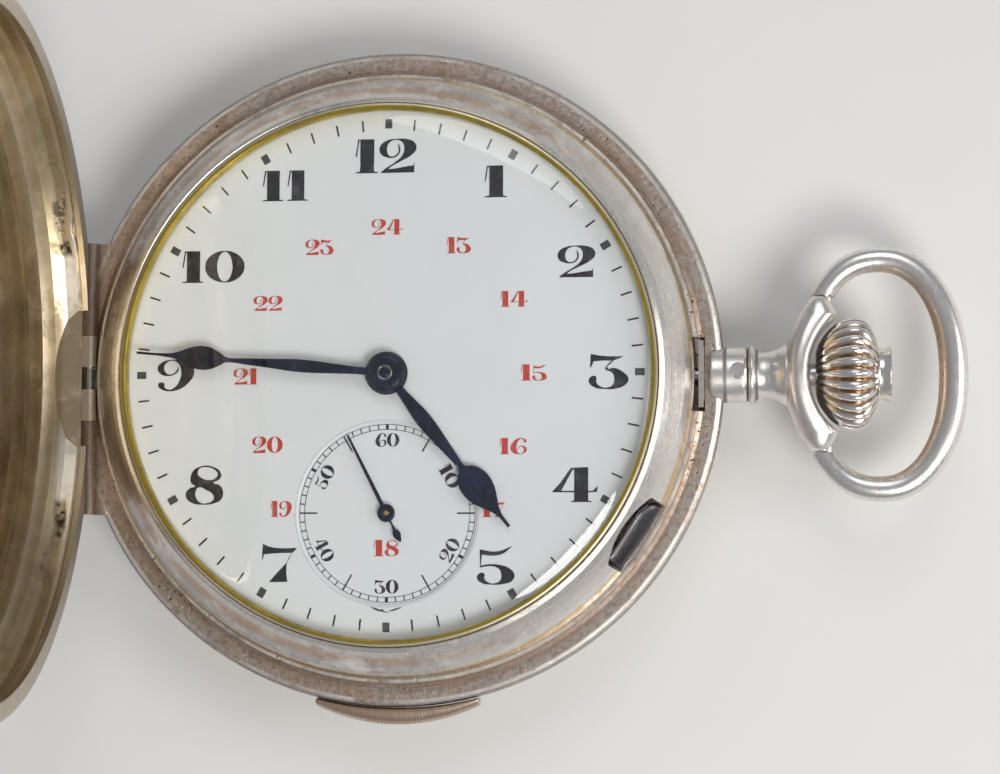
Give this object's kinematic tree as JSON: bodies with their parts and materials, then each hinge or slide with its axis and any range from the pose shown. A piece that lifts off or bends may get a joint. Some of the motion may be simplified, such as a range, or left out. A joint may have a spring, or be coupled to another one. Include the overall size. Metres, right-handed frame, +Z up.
{
  "type": "repeater pocket watch",
  "caption": "Silver hunter-cased repeater pocket watch, front cover open, white 24-hour dial, small seconds, crown at three and repeater slide at six",
  "frame": {"origin": "centre of the flat that the back cover rests on, on the axis of the hands", "axes": "+Z up out of the dial, +Y to 12 o'clock, +X to 3 o'clock along the crown's axis"},
  "size_m": [0.0795, 0.0554, 0.0603],
  "materials": {
    "worn_silver": "worn, tarnished silver with dark pits",
    "bezel_silver": "satin silver with yellow tarnish",
    "bright_silver": "polished silver with fine scratches",
    "cover_gilt": "gilt-brown tarnished inner face",
    "case_silver": "satin silver",
    "crown_silver": "worn silver with dark grooves",
    "gilt": "polished gilt",
    "glass": "clear polished glass",
    "enamel": "white fired enamel",
    "dark_steel": "blued to near black, polished",
    "blued_steel": "blued steel",
    "brass": "brushed brass",
    "gilt_plate": "frosted gilt",
    "steel": "polished steel"
  },
  "bodies": {
    "case": {"band": "worn_silver", "pendant": "bright_silver", "pendant_plug": "bright_silver", "bezel": "bezel_silver", "glass_rim": "gilt", "crystal": "glass", "dial": "enamel", "seconds_dial": "enamel", "front_hinge_pin": "steel", "back_hinge_pin": "steel", "lift_spring": "dark_steel", "main_plate": "gilt_plate", "barrel_bridge": "gilt_plate", "train_bridge": "gilt_plate", "fork_bridge": "gilt_plate", "balance_cock": "gilt_plate", "hairspring": "blued_steel", "hour_gong": "blued_steel", "quarter_gong": "blued_steel", "gong_post": "steel", "bridge_screws": "blued_steel"},
    "front_cover": {"front_cover": "cover_gilt"},
    "back_cover": {"back_cover": "case_silver"},
    "dust_cover": {"cuvette": "gilt"},
    "bow": {"bow": "bright_silver"},
    "push": {"push_collar": "steel"},
    "crown": {"crown": "crown_silver", "crown_stem": "steel", "crown_cap": "crown_silver"},
    "catch": {"lock_spring": "steel"},
    "winding": {"winding_shaft": "steel"},
    "crown_wheel": {"crown_wheel": "steel"},
    "ratchet": {"ratchet_wheel": "steel"},
    "click": {"click": "steel"},
    "lever": {"setting_lever": "dark_steel"},
    "slide": {"repeater_slide": "worn_silver", "repeater_rack": "steel"},
    "strike": {"strike_wheel": "brass"},
    "fourth": {"fourth_wheel": "brass", "seconds_hand": "dark_steel"},
    "center": {"center_wheel": "brass", "cannon_pinion": "steel", "minute_hand": "dark_steel"},
    "third": {"third_wheel": "brass"},
    "escape": {"escape_wheel": "steel"},
    "barrel": {"barrel": "brass"},
    "minute_work": {"minute_wheel": "brass"},
    "hour": {"hour_wheel": "brass", "hour_hand": "dark_steel"},
    "snail": {"hour_snail": "steel"},
    "balance": {"balance_wheel": "brass"},
    "fork": {"pallet_fork": "steel"},
    "hour_hammer": {"hour_hammer": "steel"},
    "quarter_hammer": {"quarter_hammer": "steel"},
    "regulator": {"regulator": "steel"}
  },
  "joints": [
    {"name": "front_cover_hinge", "type": "hinge", "parent": "case", "child": "front_cover", "pos_m": [-0.0257, 0, 0.00765], "axis": [0, 1, 0], "range_deg": [0, 88], "stiffness_Nm_per_rad": 0.0016, "springref_deg": -20.05},
    {"name": "back_cover_hinge", "type": "hinge", "parent": "case", "child": "back_cover", "pos_m": [-0.0257, 0, 0.005], "axis": [0, 1, 0], "range_deg": [0, 95]},
    {"name": "dust_cover_hinge", "type": "hinge", "parent": "case", "child": "dust_cover", "pos_m": [-0.0257, 0, 0.005], "axis": [0, 1, 0], "range_deg": [0, 85.5]},
    {"name": "bow_hinge", "type": "hinge", "parent": "case", "child": "bow", "pos_m": [0.0352, 0, 0.0064], "axis": [0, 1, 0], "range_deg": [-95, 95]},
    {"name": "crown_press", "type": "slide", "parent": "case", "child": "push", "axis": [-1, 0, 0], "range_m": [0, 0.0006], "stiffness_N_per_m": 800, "springref_m": -0.001},
    {"name": "crown_turn", "type": "hinge", "parent": "push", "child": "crown", "pos_m": [0.036, 0, 0.0064], "axis": [1, 0, 0], "continuous": true},
    {"name": "catch_slide", "type": "slide", "parent": "case", "child": "catch", "axis": [-1, 0, 0], "range_m": [0, 0.0006]},
    {"name": "winding_turn", "type": "hinge", "parent": "case", "child": "winding", "pos_m": [0.018, 0, 0.0064], "axis": [1, 0, 0], "continuous": true},
    {"name": "crown_wheel_turn", "type": "hinge", "parent": "case", "child": "crown_wheel", "pos_m": [0.01317, 0, 0.004], "axis": [0, 0, 1], "continuous": true},
    {"name": "ratchet_turn", "type": "hinge", "parent": "case", "child": "ratchet", "pos_m": [0.0065, 0.00722, 0.004], "axis": [0, 0, 1], "continuous": true},
    {"name": "click_lift", "type": "hinge", "parent": "case", "child": "click", "pos_m": [-0.00164, 0.01192, 0.0032], "axis": [0, 0, 1], "range_deg": [0, 14], "stiffness_Nm_per_rad": 0.00002, "springref_deg": -11.46},
    {"name": "setting_lever_pull", "type": "slide", "parent": "case", "child": "lever", "axis": [0.8387, -0.5446, 0], "range_m": [0, 0.0009]},
    {"name": "repeater_slide_turn", "type": "hinge", "parent": "case", "child": "slide", "pos_m": [0, 0, 0.0064], "axis": [0, 0, 1], "range_deg": [0, 25], "stiffness_Nm_per_rad": 0.01, "springref_deg": -17.19},
    {"name": "strike_turn", "type": "hinge", "parent": "case", "child": "strike", "pos_m": [-0.00486, -0.01813, 0.0064], "axis": [0, 0, 1], "range_deg": [0, 361]},
    {"name": "seconds_turn", "type": "hinge", "parent": "case", "child": "fourth", "pos_m": [0, -0.01125, 0.006], "axis": [0, 0, -1], "continuous": true},
    {"name": "center_turn", "type": "hinge", "parent": "case", "child": "center", "pos_m": [0, 0, 0.005], "axis": [0, 0, -1], "continuous": true},
    {"name": "third_turn", "type": "hinge", "parent": "case", "child": "third", "pos_m": [-0.00507, -0.00636, 0.006], "axis": [0, 0, -1], "continuous": true},
    {"name": "escape_turn", "type": "hinge", "parent": "case", "child": "escape", "pos_m": [0.00515, -0.01392, 0.0068], "axis": [0, 0, -1], "continuous": true},
    {"name": "barrel_turn", "type": "hinge", "parent": "case", "child": "barrel", "pos_m": [0.0065, 0.00722, 0.0065], "axis": [0, 0, -1], "continuous": true},
    {"name": "minute_wheel_turn", "type": "hinge", "parent": "case", "child": "minute_work", "pos_m": [-0.00377, 0.00217, 0.0094], "axis": [0, 0, -1], "continuous": true},
    {"name": "hour_turn", "type": "hinge", "parent": "case", "child": "hour", "pos_m": [0, 0, 0.0096], "axis": [0, 0, -1], "continuous": true},
    {"name": "snail_turn", "type": "hinge", "parent": "case", "child": "snail", "pos_m": [0.0063, 0.0051, 0.0092], "axis": [0, 0, -1], "continuous": true},
    {"name": "balance_swing", "type": "hinge", "parent": "case", "child": "balance", "pos_m": [0.0109, -0.0095, 0.0043], "axis": [0, 0, 1], "range_deg": [-270, 270], "stiffness_Nm_per_rad": 0.000001},
    {"name": "fork_swing", "type": "hinge", "parent": "case", "child": "fork", "pos_m": [0.00781, -0.01188, 0.0062], "axis": [0, 0, 1], "range_deg": [-4, 4]},
    {"name": "hour_hammer_lift", "type": "hinge", "parent": "case", "child": "hour_hammer", "pos_m": [-0.0125, 0.009, 0.0053], "axis": [0, 0, 1], "range_deg": [0, 12], "stiffness_Nm_per_rad": 0.0002, "springref_deg": -14.32},
    {"name": "quarter_hammer_lift", "type": "hinge", "parent": "case", "child": "quarter_hammer", "pos_m": [-0.015, -0.0065, 0.0044], "axis": [0, 0, -1], "range_deg": [0, 12], "stiffness_Nm_per_rad": 0.0002, "springref_deg": -14.32},
    {"name": "regulator_turn", "type": "hinge", "parent": "case", "child": "regulator", "pos_m": [0.0109, -0.0095, 0.0024], "axis": [0, 0, 1], "range_deg": [-20, 20]}
  ],
  "couplings": [
    {"joint": "dust_cover_hinge", "follows": "back_cover_hinge", "ratio": 0.9},
    {"joint": "catch_slide", "follows": "crown_press", "ratio": 1},
    {"joint": "winding_turn", "follows": "crown_turn", "ratio": 1},
    {"joint": "crown_wheel_turn", "follows": "crown_turn", "ratio": 0.36364},
    {"joint": "ratchet_turn", "follows": "crown_turn", "ratio": -0.21114},
    {"joint": "strike_turn", "follows": "repeater_slide_turn", "ratio": 14.429},
    {"joint": "third_turn", "follows": "seconds_turn", "ratio": -0.13333},
    {"joint": "center_turn", "follows": "seconds_turn", "ratio": 0.016667},
    {"joint": "escape_turn", "follows": "seconds_turn", "ratio": -10},
    {"joint": "barrel_turn", "follows": "seconds_turn", "ratio": -0.0022222},
    {"joint": "minute_wheel_turn", "follows": "seconds_turn", "ratio": -0.0055556},
    {"joint": "hour_turn", "follows": "seconds_turn", "ratio": 0.0013889},
    {"joint": "snail_turn", "follows": "seconds_turn", "ratio": -0.0013889}
  ]
}
